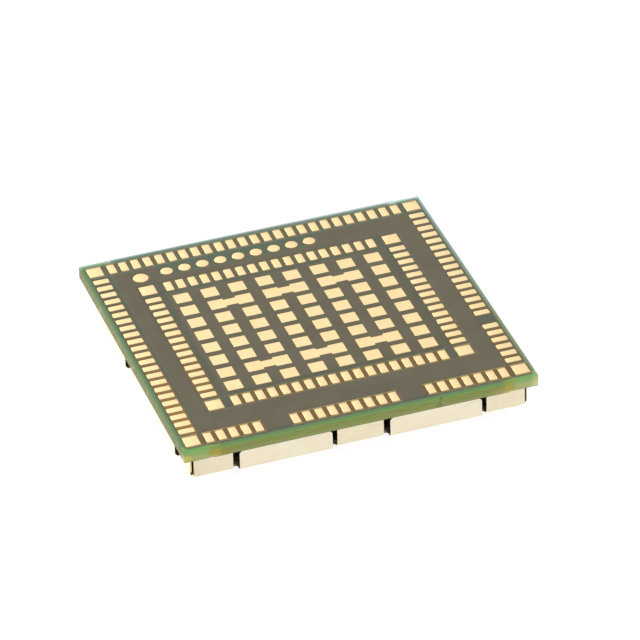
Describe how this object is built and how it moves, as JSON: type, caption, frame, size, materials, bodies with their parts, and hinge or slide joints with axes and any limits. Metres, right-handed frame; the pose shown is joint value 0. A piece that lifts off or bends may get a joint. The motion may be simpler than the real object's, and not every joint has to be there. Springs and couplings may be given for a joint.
{
  "type": "cellular gnss module",
  "caption": "Square surface-mount radio module for cellular data and satellite positioning, with rings of oblong solder lands, a ground land grid and a folded shield.",
  "frame": {"origin": "middle of the shield lid's outer face, on which the module lies; the bounding box's bottom centre", "axes": "+Z out of the land face, away from the lid; +X along the long side; +Y along the short side, towards the row of round test lands"},
  "size_m": [0.023, 0.022, 0.0025],
  "materials": {
    "laminate": "glass-epoxy laminate, satin, slightly translucent edge",
    "solder_mask": "semi-matte dark olive solder mask",
    "gold_land": "immersion gold over nickel and copper, matte",
    "tin_land": "soldered copper ring",
    "shield_sheet": "nickel silver sheet, fine satin rolling grain",
    "package_mould": "black moulding compound, fine matte",
    "filter_package": "pale ceramic package with a metal lid",
    "capacitor_ceramic": "brown ceramic with tinned end caps",
    "resistor_ceramic": "dark glazed ceramic",
    "ferrite": "dark grey ferrite"
  },
  "bodies": {
    "root": {"circuit_board": "laminate", "land_side_mask": "solder_mask", "component_side_mask": "solder_mask", "shield_land_ring": "tin_land", "ground_plane": "gold_land", "outer_signal_lands": "gold_land", "inner_signal_lands": "gold_land", "outer_corner_lands": "gold_land", "inner_corner_lands": "gold_land", "test_lands": "gold_land", "pin_one_land": "gold_land", "shield_frame": "shield_sheet", "shield_lid": "shield_sheet", "baseband_processor": "package_mould", "memory_package": "package_mould", "power_manager": "package_mould", "radio_transceiver": "package_mould", "high_band_amplifier": "package_mould", "low_band_amplifier": "package_mould", "antenna_switch": "package_mould", "duplexers": "filter_package", "receive_filters": "filter_package", "satellite_filter": "filter_package", "satellite_amplifier": "package_mould", "reference_oscillator": "filter_package", "sleep_crystal": "filter_package", "power_inductors": "ferrite", "chip_inductors": "ferrite", "chip_resistors": "resistor_ceramic", "large_capacitors": "capacitor_ceramic", "small_capacitors": "capacitor_ceramic"}
  },
  "joints": []
}
